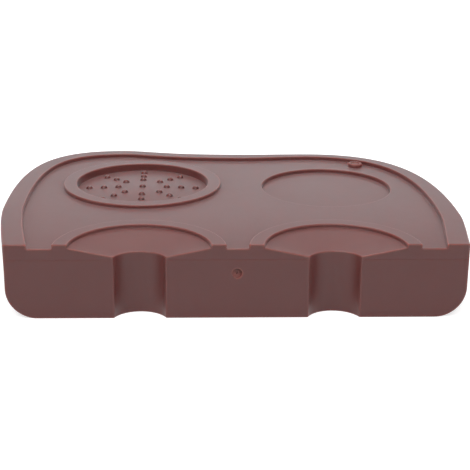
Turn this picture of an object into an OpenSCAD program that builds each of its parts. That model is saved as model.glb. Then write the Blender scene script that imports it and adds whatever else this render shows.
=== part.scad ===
// Corner tamper mat: one soft moulding that hooks over the front edge of a counter.
// The origin is the counter's edge at mid-width: the deck lies on z = 0 behind it,
// and the lip hangs in front of it. +X runs along the front, +Y towards the back.

/* [Deck] */
// Width of the front face
front_w = 200; // [190:1:220]
// Thickness of the deck under its raised parts
deck_t = 5; // [4.5:0.1:7]
// Depth from the front face to the back edge at its shallow middle
deck_depth = 144.2; // [138:0.1:170]

/* [Outline] */
// How far the left side swells out past the front corner
left_swell = 6.8; // [2:0.1:10]
// Depth at which the left side is widest
left_swell_y = 53; // [40:1:70]
// How far the right side swells out past the front corner
right_swell = 4.2; // [2:0.1:10]
// Depth at which the right side is widest
right_swell_y = 40; // [30:1:60]
// How far the back edge bows out behind the tamper well
crown_rise = 7.5; // [4:0.1:12]
// Distance of that bow's top to the left of the middle
crown_x = 55; // [48:1:60]
// Distance of the back edge's shallow middle to the right of the middle
dip_x = 8; // [0:1:12]
// How far the back edge rises again before the right back corner
shoulder_rise = 0.9; // [0.2:0.1:2]
// Distance of that rise to the right of the middle
shoulder_x = 42; // [34:1:50]
// Roundness of the left back corner, up its side
left_corner_side = 0.71; // [0.6:0.01:0.85]
// Roundness of the left back corner, along its back
left_corner_back = 0.77; // [0.6:0.01:0.85]
// Roundness of the right back corner, up its side
right_corner_side = 0.64; // [0.5:0.01:0.8]
// Roundness of the right back corner, along its back
right_corner_back = 0.75; // [0.6:0.01:0.85]

/* [Rim] */
// Height of the rim above the deck
rim_h = 2; // [1.5:0.1:3]
// Width of the rim where it meets the front face
rim_front_w = 10; // [7:0.1:12]
// Width of the rim where the sides are widest
rim_side_w = 9.4; // [7:0.1:12]
// Width of the rim along the back
rim_back_w = 7; // [5:0.1:9]
// Width of the rim where it turns into the right back corner
rim_shoulder_w = 5; // [4:0.1:8]

/* [Lip] */
// Thickness of the lip, front to back
lip_t = 12; // [11:0.1:16]
// Drop of the lip below the underside of the deck
lip_drop = 26.9; // [20:0.1:40]
// Radius of the lip's two lower corners
lip_corner_r = 13.7; // [6:0.1:18]
// Fillet between the back of the lip and the underside of the deck
heel_r = 1.5; // [0.6:0.1:3]

/* [Portafilter rests] */
// Distance of each rest to the side of the middle
rest_x = 42.1; // [40:0.1:46]
// Distance of each rest's centre in front of the front face
rest_ahead = 3.6; // [1:0.1:6]
// Radius inside each rest's ring
rest_r = 30.9; // [28:0.1:33]
// Width of each rest's ring
rest_ring_w = 6.6; // [3:0.1:7]
// Height of the rest's ring above the deck
rest_ring_h = 2; // [1.5:0.1:3]
// Height of the rest's floor above the deck, at the foot of the ring
rest_floor_lift = 0.4; // [0:0.1:0.8]
// Fall of the rest's floor from the ring to the centre
rest_floor_fall = 6.5; // [4:0.1:7]

/* [Spout grooves] */
// Width of each groove at the front face
groove_w = 22.4; // [16:0.1:26]
// Depth of each groove
groove_depth = 7.4; // [5:0.1:8.5]

/* [Tamper well] */
// Distance of the well to the left of the middle
well_x = 43.8; // [42:0.1:50]
// Radius inside the well
well_r = 32.3; // [29:0.1:33]
// Width of the well's ring
well_ring_w = 6.5; // [3:0.1:8]
// Height of the well's ring above the deck
well_ring_h = 1.7; // [1.5:0.1:3]
// Depth of the well's floor below the deck
well_sink = 2; // [1:0.1:2.8]
// Space between the well's ring and the rim behind it
well_gap = 11.4; // [6:0.1:14]

/* [Pips] */
// Radius of each pip in the well
pip_r = 1.65; // [0.8:0.05:1.9]
// Height of each pip
pip_h = 1.3; // [0.8:0.05:1.5]
// Arms of pips round the middle one
pip_arms = 8; // [6:1:10]
// Pips along each arm
pips_per_arm = 3; // [2:1:4]
// Distance of the first pip of an arm from the middle
pip_first = 12; // [9:0.1:14]
// Distance of an arm's last pip from the wall of the well
pip_margin = 6; // [4:0.1:8]

/* [Tool recess] */
// Distance of the recess to the right of the middle
recess_x = 47.2; // [43:0.1:50]
// Radius of the recess
recess_r = 31.7; // [28:0.1:33]
// Depth of the recess below the deck
recess_sink = 2.2; // [1:0.1:2.8]
// Space between the recess and the line of the rim behind it
recess_gap = 14.6; // [10:0.1:18]

/* [Boss] */
// Distance of the small boss to the right of the middle
boss_x = 66.5; // [62:0.1:70]
// Distance of the boss in front of the back edge
boss_from_back = 16.6; // [15:0.1:20]
// Radius of the boss
boss_r = 3.6; // [3:0.1:5]
// Height of the boss above the deck
boss_h = 2; // [1:0.1:3]
// Radius of the hole in its top
boss_hole_r = 2.2; // [1:0.1:2.4]
// Depth of that hole
boss_hole_depth = 1.3; // [0.5:0.1:2.5]

/* [Moulding mark] */
// Distance of the round gate mark below the deck's top, on the front face
gate_below = 11.6; // [9:0.1:16]
// Radius of the gate mark
gate_r = 2.3; // [1.5:0.1:3.5]
// Depth of the gate mark
gate_depth = 0.5; // [0.3:0.1:1.5]
// Radius of the nub left in its middle
gate_nub_r = 0.7; // [0.3:0.1:1.2]

/* [Finish] */
// Rounding of the round parts' edges
edge_r = 0.5; // [0.2:0.1:0.7]

/* [Hidden] */
SILICONE = "#7d5f5e";

// Facets of round parts, and steps along each stretch of the outline
$fn = 96;
PIP_FN = 32;
STRETCH_STEPS = 16;
ROUND_STEPS = 4;
HEEL_STEPS = 6;
// Overlap that lets one shape cut or join another cleanly
BITE = 1;

front_y = -lip_t;
deck_top = deck_t;
rim_top = deck_top + rim_h;
back_y = front_y + deck_depth;
crown_y = back_y + crown_rise;
groove_r = (pow(groove_w / 2, 2) + pow(groove_depth, 2)) / (2 * groove_depth);
groove_y = front_y + groove_depth - groove_r;
rest_y = front_y - rest_ahead;
rest_foot = deck_top + rest_floor_lift;
well_y = crown_y - rim_back_w - well_gap - well_ring_w - well_r;
recess_y = back_y - rim_back_w - recess_gap - recess_r;
boss_y = back_y - boss_from_back;

// The outline's stations, from the front left corner round the back to the front right one
left_x = -front_w / 2 - left_swell;
right_x = front_w / 2 + right_swell;
corner_l = [-front_w / 2, front_y];
side_l = [left_x, front_y + left_swell_y];
crown = [-crown_x, crown_y];
dip = [dip_x, back_y];
shoulder = [shoulder_x, back_y + shoulder_rise];
side_r = [right_x, front_y + right_swell_y];
corner_r = [front_w / 2, front_y];

// Where the two handles of a stretch lie, as shares of its width and of its depth
LEFT_SIDE = [[0.45, 0.29], [1, 0.77]];
LEFT_CORNER = [[0, left_corner_side], [1 - left_corner_back, 1]];
BOW = [[0.2, 0], [0.31, 1]];
RISE = [[0.44, 0], [0.56, 1]];
RIGHT_CORNER = [[right_corner_back, 0], [1, 1 - right_corner_side]];
RIGHT_SIDE = [[0, 0.24], [0.77, 0.76]];

// Each stretch is a cubic curve: its start, its two handles and its end
STRETCHES = [
    stretch(corner_l, side_l, LEFT_SIDE),
    stretch(side_l, crown, LEFT_CORNER),
    stretch(crown, dip, BOW),
    stretch(dip, shoulder, RISE),
    stretch(shoulder, side_r, RIGHT_CORNER),
    stretch(side_r, corner_r, RIGHT_SIDE)
];
// Width of the rim at the start of each stretch, and at the end of the last
RIM_WIDTHS = [rim_front_w, rim_side_w, rim_back_w, rim_back_w, rim_shoulder_w, rim_side_w, rim_front_w];

// The point between p and q at a share of their width and a share of their depth
function between(p, q, share) = [p.x + (q.x - p.x) * share.x, p.y + (q.y - p.y) * share.y];
function stretch(p, q, handles) = [p, between(p, q, handles[0]), between(p, q, handles[1]), q];

// A point on a cubic curve, and the direction of travel there
function curve_at(c, t) = pow(1 - t, 3) * c[0] + 3 * pow(1 - t, 2) * t * c[1]
    + 3 * (1 - t) * t * t * c[2] + pow(t, 3) * c[3];
function heading_at(c, t) = pow(1 - t, 2) * (c[1] - c[0]) + 2 * (1 - t) * t * (c[2] - c[1])
    + t * t * (c[3] - c[2]);

// The rim's inner edge lies square to the outline, at a width that changes evenly along a stretch
function rim_w_at(k, t) = RIM_WIDTHS[k] + (RIM_WIDTHS[k + 1] - RIM_WIDTHS[k]) * t;
function square_in(heading) = [heading.y, -heading.x] / norm(heading);
function inner_at(k, t) = curve_at(STRETCHES[k], t)
    + rim_w_at(k, t) * square_in(heading_at(STRETCHES[k], t));

function outer_outline() = concat(
    [for (c = STRETCHES) for (i = [0 : STRETCH_STEPS - 1]) curve_at(c, i / STRETCH_STEPS)],
    [corner_r]);

// The rim's inner edge, carried on past the front face
function inner_outline() = concat(
    [[corner_l.x + rim_front_w, front_y - BITE]],
    [for (k = [0 : len(STRETCHES) - 1]) for (i = [0 : STRETCH_STEPS - 1])
        if (k + i > 0) inner_at(k, i / STRETCH_STEPS)],
    [[corner_r.x - rim_front_w, front_y - BITE]]);

// Points of a quarter circle about c, from angle a to angle b
function quarter(c, r, a, b, steps) = [for (i = [0 : steps])
    c + r * [cos(a + (b - a) * i / steps), sin(a + (b - a) * i / steps)]];

// Deck and rim, as one plate with the rim's hollow taken out
module plate() {
    difference() {
        linear_extrude(rim_top)
            polygon(outer_outline());
        translate([0, 0, deck_top])
            linear_extrude(rim_h + BITE)
                polygon(inner_outline());
    }
}

// Lip with rounded lower corners, its top buried half-way up the deck
module lip() {
    half = front_w / 2;
    low = -lip_drop;
    profile = concat(
        [[-half, deck_top / 2]],
        quarter([-half + lip_corner_r, low + lip_corner_r], lip_corner_r, 180, 270, $fn / 4),
        quarter([half - lip_corner_r, low + lip_corner_r], lip_corner_r, 270, 360, $fn / 4),
        [[half, deck_top / 2]]);
    rotate([90, 0, 0])
        linear_extrude(lip_t)
            polygon(profile);
}

// Fillet in the corner that sits on the counter's edge
module heel() {
    half = front_w / 2;
    profile = concat(
        [[-BITE, BITE]],
        quarter([heel_r, -heel_r], heel_r, 180, 90, HEEL_STEPS),
        [[heel_r, BITE]]);
    translate([-half, 0, 0])
        rotate([90, 0, 90])
            linear_extrude(front_w)
                polygon(profile);
}

// Ring that stands on the deck, with its two upper edges rounded
module ring(inner_r, ring_w, ring_h) {
    outer_r = inner_r + ring_w;
    top = deck_top + ring_h;
    rotate_extrude()
        polygon(concat(
            [[inner_r - BITE, deck_top - BITE], [outer_r, deck_top - BITE]],
            quarter([outer_r - edge_r, top - edge_r], edge_r, 0, 90, ROUND_STEPS),
            [[inner_r - BITE, top]]));
}

// Tool that sinks a round hollow with a flat floor and rounds its mouth
module round_sink(r, floor_z, mouth_z) {
    rotate_extrude()
        polygon(concat(
            [[0, floor_z], [r, floor_z]],
            quarter([r + edge_r, mouth_z - edge_r], edge_r, 180, 90, ROUND_STEPS),
            [[r + edge_r, mouth_z + BITE], [0, mouth_z + BITE]]));
}

// Tool that sinks a rest: a shallow cone inside the ring, with the ring's edge rounded
module rest_sink() {
    top = deck_top + rest_ring_h;
    rotate_extrude()
        polygon(concat(
            [[0, rest_foot - rest_floor_fall], [rest_r, rest_foot]],
            quarter([rest_r + edge_r, top - edge_r], edge_r, 180, 90, ROUND_STEPS),
            [[rest_r + edge_r, top + BITE], [0, top + BITE]]));
}

// The rests' rings, cut off flush with the front face
module rest_rings() {
    reach = rest_r + rest_ring_w + BITE;
    for (side = [-1, 1])
        intersection() {
            translate([side * rest_x, rest_y, 0])
                ring(rest_r, rest_ring_w, rest_ring_h);
            translate([side * rest_x - reach, front_y, 0])
                cube([2 * reach, reach, 2 * deck_top + rest_ring_h]);
        }
}

// Dome that stands on the floor of the well: the cap of a sphere
module pip() {
    ball_r = (pip_r * pip_r + pip_h * pip_h) / (2 * pip_h);
    translate([0, 0, pip_h - ball_r])
        sphere(r = ball_r, $fn = PIP_FN);
}

// One pip in the middle and the arms round it
module pips() {
    last = well_r - pip_margin;
    translate([-well_x, well_y, deck_top - well_sink]) {
        pip();
        for (arm = [0 : pip_arms - 1], i = [0 : pips_per_arm - 1])
            rotate([0, 0, arm * 360 / pip_arms])
                translate([pip_first + i * (last - pip_first) / (pips_per_arm - 1), 0, 0])
                    pip();
    }
}

// Small hollow boss on the deck, close to the rim
module boss() {
    translate([boss_x, boss_y, deck_top - BITE])
        difference() {
            cylinder(r = boss_r, h = boss_h + BITE);
            translate([0, 0, boss_h + BITE - boss_hole_depth])
                cylinder(r = boss_hole_r, h = boss_hole_depth + BITE);
        }
}

// Round mark left by the mould's gate, with a nub in its middle
module gate_mark() {
    translate([0, front_y - BITE, deck_top - gate_below])
        rotate([-90, 0, 0])
            difference() {
                cylinder(r = gate_r, h = gate_depth + BITE);
                cylinder(r = gate_nub_r, h = gate_depth + BITE);
            }
}

module mat() {
    color(SILICONE) {
        difference() {
            union() {
                plate();
                lip();
                heel();
                rest_rings();
                translate([-well_x, well_y, 0])
                    ring(well_r, well_ring_w, well_ring_h);
                boss();
            }
            for (side = [-1, 1]) {
                translate([side * rest_x, rest_y, 0])
                    rest_sink();
                translate([side * rest_x, groove_y, -lip_drop - BITE])
                    cylinder(r = groove_r, h = lip_drop + rim_top + 2 * BITE);
            }
            translate([-well_x, well_y, 0])
                round_sink(well_r, deck_top - well_sink, deck_top + well_ring_h);
            translate([recess_x, recess_y, 0])
                round_sink(recess_r, deck_top - recess_sink, deck_top);
            gate_mark();
        }
        pips();
    }
}

mat();
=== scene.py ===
import math

import bmesh
import bpy
import numpy as np
from mathutils import Matrix, Vector
from mathutils.geometry import delaunay_2d_cdt


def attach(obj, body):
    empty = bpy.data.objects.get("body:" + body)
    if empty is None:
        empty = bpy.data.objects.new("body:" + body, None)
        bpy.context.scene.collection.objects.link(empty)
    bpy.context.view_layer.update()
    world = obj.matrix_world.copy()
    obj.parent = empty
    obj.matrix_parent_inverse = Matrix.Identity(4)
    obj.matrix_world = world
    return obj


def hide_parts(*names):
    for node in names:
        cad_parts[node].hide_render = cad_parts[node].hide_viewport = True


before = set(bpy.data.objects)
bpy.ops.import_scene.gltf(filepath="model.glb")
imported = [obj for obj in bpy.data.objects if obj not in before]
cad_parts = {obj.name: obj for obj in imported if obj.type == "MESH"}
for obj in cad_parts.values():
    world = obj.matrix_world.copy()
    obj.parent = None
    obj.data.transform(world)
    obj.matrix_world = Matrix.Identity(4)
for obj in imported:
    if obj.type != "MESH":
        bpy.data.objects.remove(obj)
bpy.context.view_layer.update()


# The mat's outline. The whole mat is one soft silicone moulding that hooks over a counter's
# front edge. Its outline swells out at both sides and bows at the back behind the tamper
# well. All sizes are in millimetres until the mesh is made.
FRONT_Y = -12.0
FRONT_HALF = 100.0
DECK_TOP = 5.0
HEEL_R = 1.5
BORDER_R = 0.45
CUT_Y = FRONT_Y + BORDER_R
# Each stretch has two ends, and two handles given as shares of its width and depth
STRETCHES = [
    ((-100.0, -12.0), (-106.8, 41.0), (0.45, 0.29), (1.0, 0.77)),
    ((-106.8, 41.0), (-55.0, 139.7), (0.0, 0.71), (0.23, 1.0)),
    ((-55.0, 139.7), (8.0, 132.2), (0.2, 0.0), (0.31, 1.0)),
    ((8.0, 132.2), (42.0, 133.1), (0.44, 0.0), (0.56, 1.0)),
    ((42.0, 133.1), (104.2, 28.0), (0.75, 0.0), (1.0, 0.36)),
    ((104.2, 28.0), (100.0, -12.0), (0.0, 0.24), (0.77, 0.76)),
]
# The rim's width at the ends of the stretches, from the left front round to the right front
RIM_WIDTHS = [10.0, 9.4, 7.0, 7.0, 5.0, 9.4, 10.0]
SQUARE_BLEND = 18.0
LIP_ROWS = 10
HEEL_ROWS = 6
ROUND_ROWS = 340


def smooth(share):
    """A share held between 0 and 1, eased at both ends: 3 s squared less 2 s cubed."""
    s = np.clip(share, 0.0, 1.0)
    return s * s * (3.0 - 2.0 * s)


def dense_outline(steps=600):
    """Points, inward normals and rim widths along the six cubic stretches.

    A stretch runs from p to q, with handles at given shares of its width and depth.
    The normal is the heading turned a quarter to the right, and the rim's width
    changes evenly along each stretch.
    """
    points, normals, widths = [], [], []
    t = np.linspace(0.0, 1.0, steps)[:, None]
    for k, (p, q, leave, arrive) in enumerate(STRETCHES):
        p, q = np.array(p), np.array(q)
        a, b = p + (q - p) * leave, p + (q - p) * arrive
        at = (1 - t) ** 3 * p + 3 * (1 - t) ** 2 * t * a + 3 * (1 - t) * t * t * b + t**3 * q
        way = (1 - t) ** 2 * (a - p) + 2 * (1 - t) * t * (b - a) + t * t * (q - b)
        way /= np.linalg.norm(way, axis=1)[:, None]
        first = 1 if k else 0
        points.append(at[first:])
        normals.append(np.stack([way[:, 1], -way[:, 0]], 1)[first:])
        widths.append((RIM_WIDTHS[k] + (RIM_WIDTHS[k + 1] - RIM_WIDTHS[k]) * t[:, 0])[first:])
    return np.concatenate(points), np.concatenate(normals), np.concatenate(widths)


def along(values, where, at):
    """Each column of values, read at new places along the path by straight interpolation."""
    values = values.reshape(len(values), -1)
    return np.stack([np.interp(at, where, column) for column in values.T], 1)


dense_p, dense_n, dense_w = dense_outline()
dense_s = np.concatenate([[0.0], np.cumsum(np.linalg.norm(np.diff(dense_p, axis=0), axis=1))])
widest_l = int(np.argmin(dense_p[:, 0]))
widest_r = int(np.argmax(dense_p[:, 0]))


def place_at(y, right=False):
    """Distance along the outline at which its left or right side passes depth y."""
    if right:
        return np.interp(-np.asarray(y), -dense_p[widest_r:, 1], dense_s[widest_r:])
    return np.interp(y, dense_p[:widest_l, 1], dense_s[:widest_l])


# Depths of the sections at the two sides: over the lip, round the heel, then on to the back
heel_turn = np.linspace(0.0, math.pi / 2, HEEL_ROWS)
lip_depths = np.linspace(CUT_Y, 0.0, LIP_ROWS)
heel_depths = HEEL_R * (1 - np.cos(heel_turn))
side_depths = np.concatenate([lip_depths, heel_depths[1:]])
path_s = np.concatenate([
    place_at(side_depths),
    np.linspace(place_at(HEEL_R), place_at(HEEL_R, True), ROUND_ROWS)[1:-1],
    place_at(side_depths[::-1], True),
])
path_p = along(dense_p, dense_s, path_s)
path_n = along(dense_n, dense_s, path_s)
path_w = along(dense_w, dense_s, path_s)[:, 0]

# At the front the sections stand square to the sides, and turn to the outline further back
side = np.where(path_p[:, 0] < 0, 1.0, -1.0)[:, None] * np.array([1.0, 0.0])
turned = smooth((path_p[:, 1:2] - CUT_Y) / SQUARE_BLEND)
path_n = turned * path_n + (1 - turned) * side
path_n /= np.linalg.norm(path_n, axis=1)[:, None]

# The skin is gathered here as patches that share their border points, and is sewn at the end
skin_points, skin_faces = [], []


def add_patch(points, faces):
    """Adds points and the faces that use them, by their numbers within the patch."""
    start = sum(len(p) for p in skin_points)
    skin_points.append(np.asarray(points, float).reshape(-1, 3))
    skin_faces.extend((np.asarray(faces) + start).tolist())


def add_grid(grid, closed=False):
    """Four-sided faces between neighbours of a grid of points.

    A closed grid also has faces between its last row and its first.
    """
    rows, columns = grid.shape[:2]
    number = np.arange(rows * columns).reshape(rows, columns)
    if closed:
        number = np.concatenate([number, number[:1]])
    faces = np.stack([number[:-1, :-1], number[1:, :-1], number[1:, 1:], number[:-1, 1:]], -1)
    add_patch(grid, faces.reshape(-1, 4))


# The least rise of a loop's edge, the distance at which two points are one, and Blender's
# own number for triangles over the whole area
ALMOST_FLAT = 1e-12
SAME_POINT = 1e-6
ALL_TRIANGLES = 0


def inside(loops, at):
    """Whether points lie inside an odd number of closed loops.

    It counts how often a line to the right of each point crosses the loops.
    """
    crossings = np.zeros(len(at), int)
    for loop in loops:
        a, b = loop, np.roll(loop, -1, axis=0)
        rise = b[:, 1] - a[:, 1]
        rise = np.where(rise == 0, ALMOST_FLAT, rise)
        spans = (a[None, :, 1] > at[:, None, 1]) != (b[None, :, 1] > at[:, None, 1])
        share = (at[:, None, 1] - a[None, :, 1]) / rise[None]
        cross_x = a[None, :, 0] + share * (b - a)[None, :, 0]
        crossings += (spans & (at[:, None, 0] < cross_x)).sum(1)
    return crossings % 2 == 1


def add_fill(loops, axes=(0, 1), within=None):
    """Triangles that fill the area inside the first loop and outside the others.

    Loose points within the area may be given. The triangles are found in the plane of the
    two axes, and the points keep their own places.
    """
    points = np.concatenate(loops + ([within] if within is not None else []))
    flat = points[:, list(axes)]
    edges, start = [], 0
    for loop in loops:
        number = np.arange(len(loop)) + start
        edges.extend(np.stack([number, np.roll(number, -1)], 1).tolist())
        start += len(loop)
    found = delaunay_2d_cdt(flat.tolist(), edges, [], ALL_TRIANGLES, SAME_POINT)
    triangles, origin = found[2], found[3]
    back = np.array([o[0] for o in origin])
    triangles = back[np.array(triangles)]
    middle = flat[triangles].mean(1)
    add_patch(points, triangles[inside([loop[:, list(axes)] for loop in loops], middle)])


def turn(radius, across, up, start, end, steps):
    """Points of an arc about (across, up), from one angle in degrees to another, as two rows."""
    angle = np.radians(np.linspace(start, end, steps))
    return across + radius * np.cos(angle), up + radius * np.sin(angle)


def joined(*parts):
    """Stretches of a section put end to end, each a row of distances and a row of heights."""
    return np.concatenate(parts, axis=1)


# The rim, and the wall below it. The rim stands 2 mm above the deck, with small rounded
# edges and a tight fillet at its inner foot. Its outer side is the mat's outer wall, which
# ends at the underside, and over the lip runs on down to the lip's rounded lower corners.
RIM_TOP = 7.0
RIM_OUTER_R = 0.7
RIM_INNER_R = 0.5
FOOT_R = 0.35
FOOT_STEPS = 5
EDGE_STEPS = 6
OUTER_EDGE_STEPS = 7
WALL_ROWS = 4
BOTTOM_R = 0.6
BOTTOM_STEPS = 5
BOTTOM_BLEND = 6.0
LIP_LOW = -26.9
LIP_CORNER_R = 13.7
LIP_FADE = 9.0
LIP_DROP_ROWS = 8
LIP_CORNER_ROWS = 19

# Where the wall ends: on the heel's fillet near the lip, and on the flat underside behind it
depth = path_p[:, 1]
heel_share = np.clip(depth / HEEL_R, 0.0, 1.0)
low = -HEEL_R + HEEL_R * np.sqrt(np.clip(1 - (1 - heel_share) ** 2, 0.0, 1.0))
bottom_r = BOTTOM_R * smooth((depth - HEEL_R) / BOTTOM_BLEND)

foot_u, foot_z = turn(FOOT_R, FOOT_R, DECK_TOP + FOOT_R, 270, 180, FOOT_STEPS)
inner_u, inner_z = turn(RIM_INNER_R, -RIM_INNER_R, RIM_TOP - RIM_INNER_R, 0, 90, EDGE_STEPS)
outer_u, outer_z = turn(RIM_OUTER_R, RIM_OUTER_R, RIM_TOP - RIM_OUTER_R, 90, 180, OUTER_EDGE_STEPS)
fall = np.linspace(0.0, 1.0, WALL_ROWS)[None, 1:]
wall_top = RIM_TOP - RIM_OUTER_R
wall_z = wall_top + (low + bottom_r - wall_top)[:, None] * fall
bend_u, bend_z = turn(1.0, 1.0, 1.0, 180, 270, BOTTOM_STEPS)


def at_each_section(row):
    """One row of values, the same at every section along the path."""
    return np.broadcast_to(row, (len(path_s), len(row)))


rim_u = np.concatenate([
    path_w[:, None] + foot_u,
    path_w[:, None] + inner_u,
    at_each_section(outer_u),
    np.zeros_like(wall_z),
    bottom_r[:, None] * bend_u[1:]], 1)
rim_z = np.concatenate([
    at_each_section(foot_z),
    at_each_section(inner_z),
    at_each_section(outer_z),
    wall_z,
    low[:, None] + bottom_r[:, None] * bend_z[1:]], 1)
# The column at which the upright wall ends and the bottom's rounding starts
wall_end = rim_u.shape[1] - BOTTOM_STEPS


def tucked(points):
    """Draws the wall in to the lip's straight sides, eased over LIP_FADE below the deck."""
    straight = np.sign(points[..., 0]) * FRONT_HALF
    share = smooth(-points[..., 2] / LIP_FADE)
    points[..., 0] += (straight - points[..., 0]) * share
    return points


rim = np.concatenate([
    path_p[:, None] + rim_u[..., None] * path_n[:, None],
    rim_z[..., None]], 2)
rim[:, wall_end - 1:] = tucked(rim[:, wall_end - 1:])
add_grid(rim)


def lip_side(section, sign):
    """The wall over the lip, from the heel's level down to the corner, and round it to the bottom.

    It goes straight down below each point of the section, then follows a quarter circle.
    """
    drop = np.linspace(-HEEL_R, LIP_LOW + LIP_CORNER_R, LIP_DROP_ROWS)
    down = np.repeat(section[:, None], len(drop), 1)
    down[..., 2] = drop
    down[..., 0] = path_p[:LIP_ROWS, :1] if sign < 0 else path_p[-LIP_ROWS:, :1]
    down = tucked(down)
    x, z = turn(LIP_CORNER_R, LIP_CORNER_R - FRONT_HALF, LIP_LOW + LIP_CORNER_R, 180, 270, LIP_CORNER_ROWS)
    bend = np.repeat(section[:, None], len(x), 1)
    bend[..., 0], bend[..., 2] = -sign * x, z
    return np.concatenate([down, bend[:, 1:]], 1)


lip_l = lip_side(rim[:LIP_ROWS, wall_end], -1.0)
lip_r = lip_side(rim[-LIP_ROWS:, wall_end], 1.0)
add_grid(lip_l)
add_grid(lip_r)

# The two portafilter rests. Each is a shallow cone that falls towards the front, inside
# a ring that stands 2 mm above the deck and is cut off flush with the front face. Both are
# formed in the mat itself.
REST_X = (-42.1, 42.1)
REST_Y = FRONT_Y - 3.6
REST_R = 30.9
REST_RING_W = 6.6
REST_FOOT = DECK_TOP + 0.4
REST_FALL = 6.5
RING_TOP = 7.0
RING_EDGE_R = 0.5
slope = math.atan2(REST_FALL, REST_R)


def cone_z(x, y, rest_x):
    """Height of a rest's floor: it rises evenly with distance from the rest's centre."""
    return REST_FOOT - REST_FALL + np.hypot(x - rest_x, y - REST_Y) * REST_FALL / REST_R


def ring_profile(inner_r, ring_w, top_z, foot_z):
    """Distances and heights of a ring's section, as four arcs with straight lines between.

    It runs from the outer foot on the deck over the top to the inner wall's foot.
    """
    outer_r = inner_r + ring_w
    return joined(
        turn(FOOT_R, outer_r + FOOT_R, DECK_TOP + FOOT_R, 270, 180, FOOT_STEPS),
        turn(RING_EDGE_R, outer_r - RING_EDGE_R, top_z - RING_EDGE_R, 0, 90, EDGE_STEPS),
        turn(RING_EDGE_R, inner_r + RING_EDGE_R, top_z - RING_EDGE_R, 90, 180, EDGE_STEPS),
        turn(FOOT_R, inner_r - FOOT_R, foot_z + FOOT_R, 0, -90, FOOT_STEPS),
    )


def rest_profile():
    """The ring's section, with its last fillet turned on into the slope of the cone."""
    section = ring_profile(REST_R, REST_RING_W, RING_TOP, REST_FOOT)
    seat = REST_R - FOOT_R + FOOT_R * math.sin(slope)
    centre = REST_FOOT - (REST_R - seat) * math.tan(slope) + FOOT_R * math.cos(slope)
    last = turn(FOOT_R, REST_R - FOOT_R, centre, 0, math.degrees(slope) - 90, FOOT_STEPS)
    return joined(section[:, :-FOOT_STEPS], last)


def rest_ring(rest_x, steps=110):
    """The ring's section carried from left to right round the circle behind the front face.

    Each point of the section turns about the rest's centre, from the angle at which it
    meets the cut on the left to the angle at which it meets it on the right.
    """
    radius, height = rest_profile()
    reach = np.arcsin((CUT_Y - REST_Y) / radius)
    angle = np.pi - reach[None] - (np.pi - 2 * reach[None]) * np.linspace(0, 1, steps)[:, None]
    return np.stack([
        rest_x + radius * np.cos(angle),
        REST_Y + radius * np.sin(angle),
        np.broadcast_to(height, angle.shape)], 2)


rings = [rest_ring(x) for x in REST_X]
for ring in rings:
    add_grid(ring)

# The spout grooves. A round channel runs down the front under each rest, for a
# portafilter's spouts. Both are moulded in the lip, and their two long edges are rounded
# more than the mat's other edges.
GROOVE_W = 22.4
GROOVE_DEPTH = 7.4
GROOVE_EDGE_R = 0.9
GROOVE_EDGE_STEPS = 8
GROOVE_STEPS = 45
groove_r = ((GROOVE_W / 2) ** 2 + GROOVE_DEPTH**2) / (2 * GROOVE_DEPTH)
groove_y = FRONT_Y + GROOVE_DEPTH - groove_r
edge_y = FRONT_Y + GROOVE_EDGE_R
edge_x = math.sqrt((groove_r + GROOVE_EDGE_R) ** 2 - (edge_y - groove_y) ** 2)


def groove_plan(rest_x):
    """The groove seen from above, from left to right, a border's width inside the material.

    It is a small arc round each edge and a large one round the channel. With each point
    goes the level direction that faces out of the material.
    """
    lean = math.degrees(math.atan2(groove_y - edge_y, edge_x))
    first = np.radians(np.linspace(-90, lean, GROOVE_EDGE_STEPS))
    middle = np.radians(np.linspace(lean, -180 - lean, GROOVE_STEPS))[1:-1]
    last = np.radians(np.linspace(-180 - lean, -90, GROOVE_EDGE_STEPS))
    out = [np.stack([np.cos(a), np.sin(a)], 1) for a in (first, middle, last)]
    points = [
        np.array([rest_x - edge_x, edge_y]) + (GROOVE_EDGE_R - BORDER_R) * out[0],
        np.array([rest_x, groove_y]) - (groove_r + BORDER_R) * out[1],
        np.array([rest_x + edge_x, edge_y]) + (GROOVE_EDGE_R - BORDER_R) * out[2],
    ]
    return np.concatenate(points), np.concatenate(out)


def row_between(p, q, steps):
    """Points along a straight line, with both ends."""
    return p + (q - p) * np.linspace(0, 1, steps)[:, None]


def floor_row(p, q, rest_x, steps=9):
    """Points on the cone between two places on its edge, at the cut behind the front face."""
    row = row_between(p, q, steps)
    row[1:-1, 2] = cone_z(row[1:-1, 0], row[1:-1, 1], rest_x)
    return row


def with_cone(plan, rest_x):
    """Plan points lifted to the cone."""
    return np.column_stack([plan, cone_z(plan[:, 0], plan[:, 1], rest_x)])


# The front border. A small rounding runs round the whole front face, as the mould leaves it:
# over the rim, the deck, the rings and the rests, down both sides, and along the bottom and
# the grooves.
FACING = np.array([0.0, -1.0, 0.0])
BORDER_ROWS = 5
DECK_STEPS = 4
LOW_EDGE_STEPS = 6
pieces = []


def take(name, points, out=None):
    """Puts the next stretch of the border in place.

    With it goes the direction that faces out of the material, straight ahead if not given.
    """
    if out is None:
        out = np.broadcast_to(FACING, points.shape)
    pieces.append((name, points, out))


def level(plan, z):
    """Plan points at one height."""
    return np.column_stack([plan, np.full(len(plan), float(z))])


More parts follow.
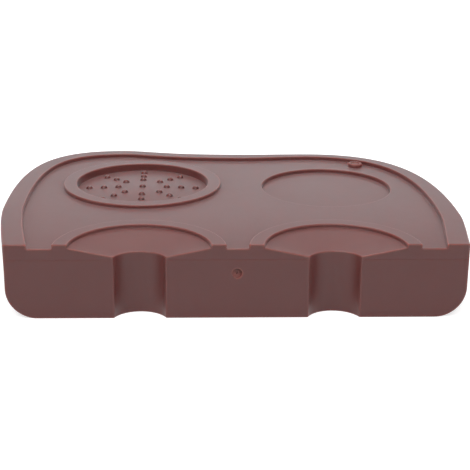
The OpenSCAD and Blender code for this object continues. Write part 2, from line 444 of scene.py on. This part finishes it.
grooves = [groove_plan(x) for x in REST_X]
left_row = np.concatenate([rim[0, :wall_end + 1], lip_l[0, 1:]])
right_row = np.concatenate([rim[-1, :wall_end + 1], lip_r[-1, 1:]])
take("left side", left_row[::-1])
take("deck left", row_between(left_row[0], rings[0][0, 0], DECK_STEPS))
floors = []
for k, rest_x in enumerate(REST_X):
    ring, (plan, out) = rings[k], grooves[k]
    top = with_cone(plan, rest_x)
    row_l = floor_row(ring[0, -1], top[0], rest_x)
    row_r = floor_row(top[-1], ring[-1, -1], rest_x)
    take(f"ring {k} left", ring[0])
    take(f"floor {k} left", row_l)
    take(f"groove {k} top", top, level(out, 0))
    take(f"floor {k} right", row_r)
    take(f"ring {k} right", ring[-1, ::-1])
    floors.append(np.concatenate([row_l[:-1], top[:-1], row_r[:-1], ring[::-1, -1][:-1]]))
    if k == 0:
        take("deck middle", row_between(ring[-1, 0], rings[1][0, 0], DECK_STEPS))
take("deck right", row_between(rings[1][-1, 0], right_row[0], DECK_STEPS))
take("right side", right_row)
corner = right_row[-1]
for k in (1, 0):
    plan, out = grooves[k]
    bottom = level(plan, LIP_LOW)[::-1]
    take(f"bottom {k}", row_between(corner, bottom[0], LOW_EDGE_STEPS))
    take(f"groove {k} bottom", bottom, level(out, 0)[::-1])
    corner = bottom[-1]
take("bottom left", row_between(corner, left_row[-1], LOW_EDGE_STEPS))

# The stretches become one closed row, and each keeps the numbers of its first and last point
marks, count = {}, 0
for name, points, out in pieces:
    marks[name] = (count, count + len(points) - 1)
    count += len(points) - 1
border = np.concatenate([points[:-1] for _, points, _ in pieces])
facing = np.concatenate([out[:-1] for _, _, out in pieces])

# The rounding is a quarter circle from each point, first inward and then out of the material
ahead = np.roll(border, -1, axis=0) - border
ahead /= np.linalg.norm(ahead, axis=1)[:, None]
heading = ahead + np.roll(ahead, 1, axis=0)
inward = np.cross(heading, facing)
inward /= np.linalg.norm(inward, axis=1)[:, None]
for name, (first, final) in marks.items():
    if name.startswith("groove"):
        inward[first:final + 1] = (0.0, 0.0, -1.0 if name.endswith("top") else 1.0)
bend = np.linspace(0.0, math.pi / 2, BORDER_ROWS)[:, None, None]
border_rows = border + BORDER_R * (np.sin(bend) * facing + (1 - np.cos(bend)) * inward)
add_grid(border_rows.transpose(1, 0, 2), closed=True)
edge = border_rows[-1]


def stretch_of(first, last):
    """Points of the front face's edge between two numbers, past its end if need be."""
    return edge[np.arange(first, last + 1) % len(edge)]


# The front face and the channels' walls. The face is flat, in three panels between the
# grooves, and carries the round mark that the mould's gate leaves below the middle. Where
# the mould's two halves meet, a faint line runs across the face just below the deck.
GATE = (-0.2, -6.2)
GATE_R = 2.15
GATE_DEPTH = 1.15
GATE_TILT = 0.9
GATE_DEEPEST = math.radians(40)
GATE_EDGE_R = 0.12
GATE_EDGE_STEPS = 4
GATE_STEPS = 48
PIT_R = 0.6
PIT_DEPTH = 0.8
PIT_EDGE_R = 0.1
PIT_EDGE_STEPS = 3
PIT_FOOT_R = 0.2
PIT_FOOT_STEPS = 4
GROOVE_LEVELS = 9

walls = []
for k in range(len(REST_X)):
    top = stretch_of(*marks[f"groove {k} top"])
    bottom = stretch_of(*marks[f"groove {k} bottom"])[::-1]
    share = np.linspace(0, 1, GROOVE_LEVELS)[:, None, None]
    wall = top[None] + (bottom - top)[None] * share
    walls.append(wall)
    add_grid(wall)

# The gate mark: a round hollow with a tilted floor and a small pit in its middle
gate_angle = np.linspace(0, 2 * math.pi, GATE_STEPS, endpoint=False)[:, None]
gate_radius, gate_in = joined(
    turn(GATE_EDGE_R, GATE_R + GATE_EDGE_R, GATE_EDGE_R, 270, 180, GATE_EDGE_STEPS),
    turn(GATE_EDGE_R, GATE_R - GATE_EDGE_R, -GATE_EDGE_R, 0, 90, GATE_EDGE_STEPS),
    turn(PIT_EDGE_R, PIT_R + PIT_EDGE_R, PIT_EDGE_R, 270, 180, PIT_EDGE_STEPS),
    turn(PIT_FOOT_R, PIT_R - PIT_FOOT_R, PIT_DEPTH - PIT_FOOT_R, 0, 90, PIT_FOOT_STEPS),
    ([0.0], [PIT_DEPTH]))
gate_floor = GATE_DEPTH + GATE_TILT * gate_radius / GATE_R * np.cos(gate_angle - GATE_DEEPEST)
gate_floor[:, :GATE_EDGE_STEPS] = 0.0
gate = np.stack([
    GATE[0] + gate_radius * np.cos(gate_angle),
    FRONT_Y + gate_floor + gate_in,
    GATE[1] + gate_radius * np.sin(gate_angle)], 2)
add_grid(gate, closed=True)

total = len(edge)
panels = [
    [stretch_of(marks["groove 0 bottom"][1], total + marks["groove 0 top"][0]), walls[0][1:-1, 0]],
    [stretch_of(marks["groove 0 top"][1], marks["groove 1 top"][0]), walls[1][1:-1, 0],
     stretch_of(marks["groove 1 bottom"][1], marks["groove 0 bottom"][0]), walls[0][1:-1, -1][::-1]],
    [stretch_of(marks["groove 1 top"][1], marks["groove 1 bottom"][0]), walls[1][1:-1, -1][::-1]],
]

# The line of the mould's halves: how far the face is set back at each height
SEAM_ROWS = (-0.35, -0.27, -0.19, -0.11, -0.03, 0.05, 0.13, 0.21, 1.0, 2.0, 3.0)
SEAM_INSETS = (0.0, 0.007, 0.027, 0.06, 0.09, 0.118, 0.135, 0.14, 0.1, 0.04, 0.0)
SEAM_MARGIN = 0.8
for k, parts in enumerate(panels):
    loops = [np.concatenate(parts)] + ([gate[:, 0]] if k == 1 else [])
    left, right = loops[0][:, 0].min() + SEAM_MARGIN, loops[0][:, 0].max() - SEAM_MARGIN
    x, z = np.meshgrid(np.linspace(left, right, int(right - left)), SEAM_ROWS)
    inset = np.broadcast_to(np.array(SEAM_INSETS)[:, None], x.shape)
    seam = np.stack([x, FRONT_Y + inset, z], 2)
    add_fill(loops, axes=(0, 2), within=seam.reshape(-1, 3))

# The rests' floors. Each is a part of the cone, between the ring's foot, the front border
# and the groove's mouth, and is moulded smooth so that coffee wipes off.
FLOOR_FIRST_R = 6.0
FLOOR_GAP = 1.7
FLOOR_TURN = 3.0
RING_MARGIN = 1.5
GROOVE_MARGIN = 1.4
CUT_MARGIN = 0.8
for rest_x, loop in zip(REST_X, floors):
    radius, angle = np.meshgrid(
        np.arange(FLOOR_FIRST_R, REST_R - RING_MARGIN, FLOOR_GAP),
        np.radians(np.arange(FLOOR_TURN, 180, FLOOR_TURN)))
    x, y = rest_x + radius * np.cos(angle), REST_Y + radius * np.sin(angle)
    loose = np.stack([x.ravel(), y.ravel()], 1)
    clear = np.hypot(loose[:, 0] - rest_x, loose[:, 1] - groove_y) > groove_r + GROOVE_MARGIN
    clear &= loose[:, 1] > CUT_Y + CUT_MARGIN
    add_fill([loop], within=with_cone(loose[clear], rest_x))

# The tamper well. A round floor 2 mm below the deck, crowned 1 mm in its middle, lies
# inside a raised ring. Small domed pips on it, in eight arms, let a tamper's base drain.
WELL = (-43.8, 82.5)
WELL_R = 32.3
WELL_RING_W = 6.5
WELL_RING_TOP = DECK_TOP + 1.7
WELL_FLOOR = DECK_TOP - 2.0
WELL_CROWN = 1.0
WELL_FIRST_R = 2.5
WELL_GAP = 2.4
WELL_TURN = 7.5
PIP_R = 1.65
PIP_H = 1.4
PIP_ARMS = 8
PIP_PLACES = (12.0, 19.15, 26.3)
PIP_FOOT_OUT = (0.25, 0.08)
PIP_FOOT_UP = (0.0, 0.05)
PIP_FOOT_TURN = 8
PIP_ROWS = 7
PIP_STEPS = 24
PIP_MARGIN = 0.9
FULL_STEPS = 180


def turned_form(radius, height, centre, steps):
    """A section turned all the way round an upright line, as a grid closed along its rows."""
    angle = np.linspace(0, 2 * math.pi, steps, endpoint=False)[:, None]
    return np.stack([
        centre[0] + radius * np.cos(angle),
        centre[1] + radius * np.sin(angle),
        np.broadcast_to(height, (steps, len(height)))], 2)


well = turned_form(*ring_profile(WELL_R, WELL_RING_W, WELL_RING_TOP, WELL_FLOOR), WELL, FULL_STEPS)
add_grid(well, closed=True)

# A pip is the cap of a ball on a small fillet, from its foot up to its top
ball_r = (PIP_R**2 + PIP_H**2) / (2 * PIP_H)
ball_foot = math.degrees(math.asin((ball_r - PIP_H) / ball_r))
lift = np.radians(np.linspace(ball_foot + PIP_FOOT_TURN, 90, PIP_ROWS))
pip_radius, pip_height = joined(
    (PIP_R + np.array(PIP_FOOT_OUT), PIP_FOOT_UP),
    (ball_r * np.cos(lift), PIP_H - ball_r + ball_r * np.sin(lift)))
arm = np.radians(np.arange(PIP_ARMS) * 360.0 / PIP_ARMS)
pip_centres = np.concatenate([np.zeros((1, 2))] + [
    r * np.stack([np.cos(arm), np.sin(arm)], 1) for r in PIP_PLACES]) + WELL


def crowned(points):
    """Lifts points in the well by the crown's height times a falling share.

    The share is the square of 1 less the square of the distance from the well's centre,
    taken as a part of its radius.
    """
    share = np.hypot(points[..., 0] - WELL[0], points[..., 1] - WELL[1]) / (WELL_R - FOOT_R)
    points[..., 2] += WELL_CROWN * np.clip(1 - share**2, 0.0, 1.0) ** 2
    return points


pip_loops = []
for centre in pip_centres:
    pip = crowned(turned_form(pip_radius, WELL_FLOOR + pip_height, centre, PIP_STEPS))
    add_grid(pip, closed=True)
    pip_loops.append(pip[:, 0])
radius, angle = np.meshgrid(
    np.arange(WELL_FIRST_R, WELL_R - RING_MARGIN, WELL_GAP),
    np.radians(np.arange(0, 360, WELL_TURN)))
x, y = WELL[0] + radius * np.cos(angle), WELL[1] + radius * np.sin(angle)
loose = np.stack([x.ravel(), y.ravel()], 1)
away = np.hypot(*(loose[:, None] - pip_centres[None]).transpose(2, 0, 1)).min(1)
between_pips = crowned(level(loose[away > PIP_R + PIP_MARGIN], WELL_FLOOR))
add_fill([well[:, -1]] + pip_loops, within=between_pips)

# The tool recess, a plain round hollow 1.9 mm deep in which a leveller or tamper stands. It
# is moulded with a rounded mouth, a tight fillet at its foot and no ring.
RECESS = (47.2, 78.9)
RECESS_R = 31.7
RECESS_FLOOR = DECK_TOP - 1.9
RECESS_EDGE_R = 0.5
recess = turned_form(*joined(
    turn(RECESS_EDGE_R, RECESS_R + RECESS_EDGE_R, DECK_TOP - RECESS_EDGE_R, 90, 180, EDGE_STEPS),
    turn(FOOT_R, RECESS_R - FOOT_R, RECESS_FLOOR + FOOT_R, 0, -90, FOOT_STEPS)), RECESS, FULL_STEPS)
add_grid(recess, closed=True)
add_fill([recess[:, -1]])

# The small boss near the right back corner, with a shallow blind hole in its top. It is
# moulded with the deck, soft and round on every edge.
BOSS = (66.5, 115.6)
BOSS_R = 3.6
BOSS_TOP = 7.0
BOSS_EDGE_R = 0.7
BOSS_FOOT_STEPS = 4
BOSS_STEPS = 48
HOLE_R = 2.2
HOLE_FLOOR = 6.35
HOLE_EDGE_R = 0.5
HOLE_EDGE_STEPS = 5
HOLE_FOOT_R = 0.25
boss = turned_form(*joined(
    turn(FOOT_R, BOSS_R + FOOT_R, DECK_TOP + FOOT_R, 270, 180, BOSS_FOOT_STEPS),
    turn(BOSS_EDGE_R, BOSS_R - BOSS_EDGE_R, BOSS_TOP - BOSS_EDGE_R, 0, 90, EDGE_STEPS),
    turn(HOLE_EDGE_R, HOLE_R + HOLE_EDGE_R, BOSS_TOP - HOLE_EDGE_R, 90, 180, HOLE_EDGE_STEPS),
    turn(HOLE_FOOT_R, HOLE_R - HOLE_FOOT_R, HOLE_FLOOR + HOLE_FOOT_R, 0, -90, BOSS_FOOT_STEPS),
), BOSS, BOSS_STEPS)
add_grid(boss, closed=True)
add_fill([boss[:, -1]])

# The deck's flat top. It is the plain skin that is left between the rim, the rests' rings,
# the well's ring, the recess and the boss.
deck_loop = np.concatenate([
    rim[:-1, 0],
    row_between(right_row[0], rings[1][-1, 0], DECK_STEPS)[:-1],
    rings[1][::-1, 0][:-1],
    row_between(rings[1][0, 0], rings[0][-1, 0], DECK_STEPS)[:-1],
    rings[0][::-1, 0][:-1],
    row_between(rings[0][0, 0], left_row[0], DECK_STEPS)[:-1],
])
add_fill([deck_loop, well[:, 0], recess[:, 0], boss[:, 0]])

# The underside: the lip's bottom and back, the heel's fillet that sits on the counter's
# edge, and the flat that lies on the counter and grips it.
front_bottom = border[np.arange(marks["right side"][1], total + 1) % total]
add_fill([np.concatenate([lip_l[:, -1], lip_r[:-1, -1], front_bottom[:-1]])])
last = LIP_ROWS - 1
heel_l = rim[last:last + HEEL_ROWS, -1]
heel_r = rim[::-1][last:last + HEEL_ROWS, -1]
add_grid(np.stack([heel_l, heel_r], 1))
add_fill([np.concatenate([lip_l[last], lip_r[0][::-1]])], axes=(0, 2))
add_fill([rim[last + HEEL_ROWS - 1:len(rim) - last - HEEL_ROWS + 1, -1]])

# The skin is sewn into one closed mesh, with its faces outwards. Edges without a rounding
# stay crisp, and flat faces keep their own direction beside the small roundings.
MM = 0.001
SEW = 2e-6
SLIVER = 1e-7
CRISP = math.radians(38)
FLAT_LEAD = 100

mesh = bpy.data.meshes.new("tamper_mat")
mesh.from_pydata((np.concatenate(skin_points) * MM).tolist(), [], skin_faces)
work = bmesh.new()
work.from_mesh(mesh)
bmesh.ops.remove_doubles(work, verts=work.verts, dist=SEW)
bmesh.ops.dissolve_degenerate(work, edges=work.edges, dist=SLIVER)
bmesh.ops.recalc_face_normals(work, faces=work.faces)
for face in work.faces:
    face.smooth = True
for line in work.edges:
    line.smooth = line.calc_face_angle(0) < CRISP
work.to_mesh(mesh)
work.free()
mat_piece = bpy.data.objects.new("tamper_mat", mesh)
bpy.context.scene.collection.objects.link(mat_piece)
weighted = mat_piece.modifiers.new("flat faces lead", "WEIGHTED_NORMAL")
weighted.keep_sharp = True
weighted.weight = FLAT_LEAD

# Matt moulded silicone, pigmented reddish brown, with the fine blasted finish of the mould.
# A thin pale bloom lies on all that faces up, so the deck looks paler than the front. A warm
# glow is painted into the colour of thin edges, where light would pass through the soft rubber.
# The pips are polished, and their flanks are painted darker as painted shade.
BROWN = "#5e302d"
PALE_BROWN = "#623532"
# A warm, lighter colour painted in as glow at thin edges and on the gate mark and the boss
PAINTED_GLOW = "#8c4f46"
# A deep brown painted on the pips' flanks as painted shade
PIP_PAINTED_SHADE = "#4b1612"
SILICONE_IOR = 1.41
SATIN, MATT = 0.35, 0.37
PIP_GLOSS = 0.24
# Widths: clouds in the pigment and smears of handling on the real mat, and the reach of the painted glow
# in from thin edges
CLOUD_MM = 34.0
SMEAR_MM = 9.0
EDGE_MM = 1.0
# The blasted grain is under 0.1 mm on the real mat, too fine to show, and is drawn coarser
GRAIN_MM = 0.7
GRAIN_DEPTH_MM = 0.02
GRAIN_STRENGTH = 0.2
CLOUD_DETAIL, SMEAR_DETAIL, GRAIN_DETAIL = 3.0, 4.0, 2.0
SMEAR_ROUGHNESS = 0.6
SMEAR_SPAN = (0.3, 0.7)
# Where the painted glow goes: how thin the rubber is, found by occlusion looked for inside
THIN_SPAN = (0.95, 0.5)
THIN_SAMPLES = 12
# How far light travels in the silicone: red furthest
LIGHT_REACH = (1.0, 0.25, 0.2)
LIGHT_REACH_MM = 1.2
# Bloom by how much a face looks up: 1 is level, 0 is upright
BLOOM_SPAN = (0.7, 0.93)
BLOOM = (0.15, 0.62)
BLOOM_SPREAD = 0.3
BLOOM_TINT = (0.88, 0.97, 1, 1)
# Painted shade on a pip's flank: by how much the face looks up
SHADE_FLANK_SPAN = (0.85, 0.55)
# The gate mark and the boss have no bloom, and are painted with the warm glow colour as painted light on
# them
GATE_PAINTED_GLOW, BOSS_PAINTED_GLOW = 0.4, 0.32
GATE_SKIN = (0.05, 4.0)
BOSS_FOOT = 0.5
PIP_TOUCH = 0.02


def hex_colour(code):
    """An sRGB hex colour as linear red, green, blue and alpha."""
    srgb = np.array([int(code[i:i + 2], 16) for i in (1, 3, 5)]) / 255
    linear = np.where(srgb <= 0.04045, srgb / 12.92, ((srgb + 0.055) / 1.055) ** 2.4)
    return (*linear.tolist(), 1.0)


def add_node(tree, kind, settings, sockets):
    """Adds a node with its own settings.

    Each socket is given a value, or a link from another node's output.
    """
    made = tree.nodes.new(kind)
    for name, value in settings.items():
        setattr(made, name, value)
    for name, value in sockets.items():
        if isinstance(value, bpy.types.NodeSocket):
            tree.links.new(value, made.inputs[name])
        else:
            made.inputs[name].default_value = value
    return made


# Which points of the mesh lie on a pip, in the gate mark or on the boss
spots = np.empty(len(mesh.vertices) * 3)
mesh.vertices.foreach_get("co", spots)
spots = spots.reshape(-1, 3) / MM
near_pip = np.hypot(*(spots[:, None, :2] - pip_centres[None]).transpose(2, 0, 1)).min(1)
on_pip = (near_pip < PIP_R + PIP_TOUCH) & (spots[:, 2] > WELL_FLOOR + PIP_TOUCH)
mesh.attributes.new("polish", "FLOAT", "POINT").data.foreach_set("value", on_pip.astype(np.float32))
gate_back = spots[:, 1] - FRONT_Y
on_gate = np.hypot(spots[:, 0] - GATE[0], spots[:, 2] - GATE[1]) < GATE_R
on_gate &= (gate_back > GATE_SKIN[0]) & (gate_back < GATE_SKIN[1])
on_boss = np.hypot(spots[:, 0] - BOSS[0], spots[:, 1] - BOSS[1]) < BOSS_R
on_boss &= spots[:, 2] > DECK_TOP + BOSS_FOOT
# The gate mark and the boss take the painted glow colour and lose the bloom
painted_glow_no_bloom = np.maximum(GATE_PAINTED_GLOW * on_gate, BOSS_PAINTED_GLOW * on_boss)
mesh.attributes.new("painted_glow_no_bloom", "FLOAT", "POINT").data.foreach_set("value", painted_glow_no_bloom.astype(np.float32))

material = bpy.data.materials.new("moulded_silicone")
material.use_nodes = True
tree = material.node_tree
shader = tree.nodes["Principled BSDF"]
place = add_node(tree, "ShaderNodeTexCoord", {}, {}).outputs["Object"]
cloud = add_node(tree, "ShaderNodeTexNoise", {}, {
    "Vector": place, "Scale": 1 / (CLOUD_MM * MM), "Detail": CLOUD_DETAIL})
smear = add_node(tree, "ShaderNodeTexNoise", {}, {
    "Vector": place, "Scale": 1 / (SMEAR_MM * MM), "Detail": SMEAR_DETAIL,
    "Roughness": SMEAR_ROUGHNESS})
grain = add_node(tree, "ShaderNodeTexNoise", {}, {
    "Vector": place, "Scale": 1 / (GRAIN_MM * MM), "Detail": GRAIN_DETAIL})

# Colour: brown in two close shades, with a warm glow painted in where it is thin and on the gate mark and
# the boss, and painted shade on a pip's flank
colour = add_node(tree, "ShaderNodeMix", {"data_type": "RGBA"}, {
    0: cloud.outputs["Fac"], 6: hex_colour(BROWN), 7: hex_colour(PALE_BROWN)})
# Painted glow: a warm colour mixed in at thin edges, standing in for light that passes through the rubber
# there
depth_in = add_node(tree, "ShaderNodeAmbientOcclusion", {"inside": True, "samples": THIN_SAMPLES}, {
    "Distance": EDGE_MM * MM})
thin = add_node(tree, "ShaderNodeMapRange", {}, {
    "Value": depth_in.outputs["AO"], "From Min": THIN_SPAN[0], "From Max": THIN_SPAN[1],
    "To Min": 0.0, "To Max": 1.0})
# Where the glow colour is painted on the gate mark and the boss, as painted light
painted_glow_no_bloom_node = add_node(tree, "ShaderNodeAttribute", {"attribute_name": "painted_glow_no_bloom"}, {})
painted_glow_share = add_node(tree, "ShaderNodeMath", {"operation": "MAXIMUM"}, {
    0: thin.outputs["Result"], 1: painted_glow_no_bloom_node.outputs["Fac"]})
with_painted_glow = add_node(tree, "ShaderNodeMix", {"data_type": "RGBA"}, {
    0: painted_glow_share.outputs[0], 6: colour.outputs[2], 7: hex_colour(PAINTED_GLOW)})
polish = add_node(tree, "ShaderNodeAttribute", {"attribute_name": "polish"}, {})
facing_way = add_node(tree, "ShaderNodeSeparateXYZ", {}, {
    "Vector": add_node(tree, "ShaderNodeNewGeometry", {}, {}).outputs["Normal"]})
# Painted shade: a pip's steep flanks are painted deep brown
painted_shade_share = add_node(tree, "ShaderNodeMapRange", {}, {
    "Value": facing_way.outputs["Z"], "From Min": SHADE_FLANK_SPAN[0], "From Max": SHADE_FLANK_SPAN[1],
    "To Max": polish.outputs["Fac"]})
with_painted_shade = add_node(tree, "ShaderNodeMix", {"data_type": "RGBA"}, {
    0: painted_shade_share.outputs["Result"], 6: with_painted_glow.outputs[2], 7: hex_colour(PIP_PAINTED_SHADE)})
tree.links.new(with_painted_shade.outputs[2], shader.inputs["Base Color"])

# Finish: satin to matt in smears, glossier on the pips, with the grain as a faint relief
gloss = add_node(tree, "ShaderNodeMapRange", {}, {
    "Value": smear.outputs["Fac"], "From Min": SMEAR_SPAN[0], "From Max": SMEAR_SPAN[1],
    "To Min": SATIN, "To Max": MATT})
finish = add_node(tree, "ShaderNodeMapRange", {}, {
    "Value": polish.outputs["Fac"], "To Min": gloss.outputs["Result"], "To Max": PIP_GLOSS})
tree.links.new(finish.outputs["Result"], shader.inputs["Roughness"])
relief = add_node(tree, "ShaderNodeBump", {}, {
    "Height": grain.outputs["Fac"], "Strength": GRAIN_STRENGTH, "Distance": GRAIN_DEPTH_MM * MM})
tree.links.new(relief.outputs["Normal"], shader.inputs["Normal"])
shader.inputs["IOR"].default_value = SILICONE_IOR
shader.inputs["Subsurface Weight"].default_value = 1.0
shader.inputs["Subsurface Radius"].default_value = LIGHT_REACH
shader.inputs["Subsurface Scale"].default_value = LIGHT_REACH_MM * MM

# Bloom: a pale sheen on what looks up, and none on the gate mark and the boss. It follows the
# way that a face looks in the room, so it stays put when the camera moves
bloom = add_node(tree, "ShaderNodeMapRange", {}, {
    "Value": facing_way.outputs["Z"], "From Min": BLOOM_SPAN[0], "From Max": BLOOM_SPAN[1],
    "To Min": BLOOM[0], "To Max": BLOOM[1]})
kept = add_node(tree, "ShaderNodeMapRange", {}, {
    "Value": painted_glow_no_bloom_node.outputs["Fac"], "From Max": GATE_PAINTED_GLOW,
    "To Min": bloom.outputs["Result"], "To Max": 0.0})
tree.links.new(kept.outputs["Result"], shader.inputs["Sheen Weight"])
shader.inputs["Sheen Roughness"].default_value = BLOOM_SPREAD
shader.inputs["Sheen Tint"].default_value = BLOOM_TINT
mesh.materials.append(material)

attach(mat_piece, "root")
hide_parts("mat")

# The floor, a wide sheet of plain white paper at the height of the lip's lowest edge. It
# glows a little, as paper lit from behind does, so it stays white with hardly any shadow.
FLOOR_HALF = 6.0
PAPER_WHITE = (0.6, 0.6, 0.6, 1)
PAPER_ROUGHNESS = 0.9
PAPER_SHINE = 0.2
PAPER_GLOW = 0.6
floor_mesh = bpy.data.meshes.new("floor")
floor_plan = FLOOR_HALF * np.array([(-1, -1), (1, -1), (1, 1), (-1, 1)])
floor_mesh.from_pydata(level(floor_plan, LIP_LOW * MM).tolist(), [], [(0, 1, 2, 3)])
floor = bpy.data.objects.new("floor", floor_mesh)
bpy.context.scene.collection.objects.link(floor)
paper = bpy.data.materials.new("white_paper")
paper.use_nodes = True
paper_shader = paper.node_tree.nodes["Principled BSDF"]
paper_shader.inputs["Base Color"].default_value = PAPER_WHITE
paper_shader.inputs["Emission Color"].default_value = (1, 1, 1, 1)
paper_shader.inputs["Emission Strength"].default_value = PAPER_GLOW
paper_shader.inputs["Roughness"].default_value = PAPER_ROUGHNESS
paper_shader.inputs["Specular IOR Level"].default_value = PAPER_SHINE
floor_mesh.materials.append(paper)
floor.visible_diffuse = False

# The light: a white studio, bright at both sides, softer in front and above, and dark low
# behind, where two long cards stand that the deck reflects at a low angle. A small key light
# and a broad softbox hang over the mat, and the backdrop is plain white.
FRONT_WALL = 0.35
SIDE_WALLS = 2.3
CEILING = 0.97
BACK_WALL = 0.02
UNDER_LIGHT = 0.5
BACKDROP = 1.0
# Between which directions one light changes to the next: forward or up, as parts of 1
SIDE_TO_FRONT = (-0.1, -1.0)
BACK_TO_SIDE = (0.05, -0.05)
WALLS_TO_CEILING = (0.42, 0.48)
UNDER_TO_WALLS = (-0.03, 0.03)

world = bpy.data.worlds.new("studio")
bpy.context.scene.world = world
world.use_nodes = True
studio = world.node_tree
towards = add_node(studio, "ShaderNodeSeparateXYZ", {}, {
    "Vector": add_node(studio, "ShaderNodeTexCoord", {}, {}).outputs["Generated"]})
front_light = add_node(studio, "ShaderNodeMapRange", {}, {
    "Value": towards.outputs["Y"], "From Min": SIDE_TO_FRONT[0], "From Max": SIDE_TO_FRONT[1],
    "To Min": SIDE_WALLS, "To Max": FRONT_WALL})
walls_light = add_node(studio, "ShaderNodeMapRange", {}, {
    "Value": towards.outputs["Y"], "From Min": BACK_TO_SIDE[0], "From Max": BACK_TO_SIDE[1],
    "To Min": BACK_WALL, "To Max": front_light.outputs["Result"]})
ceiling_light = add_node(studio, "ShaderNodeMapRange", {}, {
    "Value": towards.outputs["Z"], "From Min": WALLS_TO_CEILING[0], "From Max": WALLS_TO_CEILING[1],
    "To Min": walls_light.outputs["Result"], "To Max": CEILING})
strength = add_node(studio, "ShaderNodeMapRange", {}, {
    "Value": towards.outputs["Z"], "From Min": UNDER_TO_WALLS[0], "From Max": UNDER_TO_WALLS[1],
    "To Min": UNDER_LIGHT, "To Max": ceiling_light.outputs["Result"]})
backdrop = add_node(studio, "ShaderNodeMapRange", {}, {
    "Value": add_node(studio, "ShaderNodeLightPath", {}, {}).outputs["Is Camera Ray"],
    "To Min": strength.outputs["Result"], "To Max": BACKDROP})
studio.nodes["Background"].inputs["Color"].default_value = (1, 1, 1, 1)
studio.links.new(backdrop.outputs["Result"], studio.nodes["Background"].inputs["Strength"])


def add_card(name, place, aim, width, height, watts, colour=(1, 1, 1)):
    """A lit white card that stands at a place and faces a point, in metres."""
    light = bpy.data.lights.new(name, "AREA")
    light.shape = "RECTANGLE"
    light.size, light.size_y = width, height
    light.energy = watts
    light.color = colour
    made = bpy.data.objects.new(name, light)
    made.location = place
    made.rotation_euler = (Vector(place) - Vector(aim)).to_track_quat("Z", "Y").to_euler()
    made.visible_camera = False
    bpy.context.scene.collection.objects.link(made)


add_card("back_card", place=(0, 0.27, 0.075), aim=(0, 0.02, 0.02), width=1.6, height=0.06,
         watts=0.23, colour=(0.85, 0.98, 1))
add_card("low_card", place=(0, 0.45, 0.05), aim=(0, 0, 0.05), width=1.6, height=0.12,
         watts=0.23, colour=(0.7, 0.95, 1))
add_card("small_key", place=(0, 0.25, 0.65), aim=(0, 0.06, 0), width=0.15, height=0.15, watts=1.42)
add_card("softbox", place=(-0.1, -0.45, 0.6), aim=(0, 0.02, 0), width=0.8, height=0.6, watts=4.05)
bpy.context.scene.view_settings.view_transform = "Standard"

# The camera stands half a metre in front and a little to the left, and looks down on the
# mat through a long lens, from where the photograph was taken.
CAMERA_AT = (-21.49, -511.69, 184.74)
YAW, PITCH, ROLL = math.radians(2.308), math.radians(19.128), math.radians(0.658)
FOCAL_PIXELS = 1244.84
PICTURE_PIXELS = 470
SENSOR_MM = 36.0
NEAREST, FURTHEST = 0.01, 30
camera_data = bpy.data.cameras.new("camera")
camera_data.sensor_width = SENSOR_MM
camera_data.lens = SENSOR_MM * FOCAL_PIXELS / PICTURE_PIXELS
camera_data.clip_start, camera_data.clip_end = NEAREST, FURTHEST
ahead_flat = np.array([math.sin(YAW), math.cos(YAW), 0.0])
forward = math.cos(PITCH) * ahead_flat - math.sin(PITCH) * np.array([0.0, 0.0, 1.0])
right = np.array([math.cos(YAW), -math.sin(YAW), 0.0])
up = np.cross(right, forward)
right, up = math.cos(ROLL) * right + math.sin(ROLL) * up, math.cos(ROLL) * up - math.sin(ROLL) * right
camera = bpy.data.objects.new("camera", camera_data)
camera.matrix_world = Matrix.Translation(np.array(CAMERA_AT) * MM) @ Matrix(
    np.stack([right, up, -forward], 1).tolist()).to_4x4()
bpy.context.scene.collection.objects.link(camera)
bpy.context.scene.camera = camera
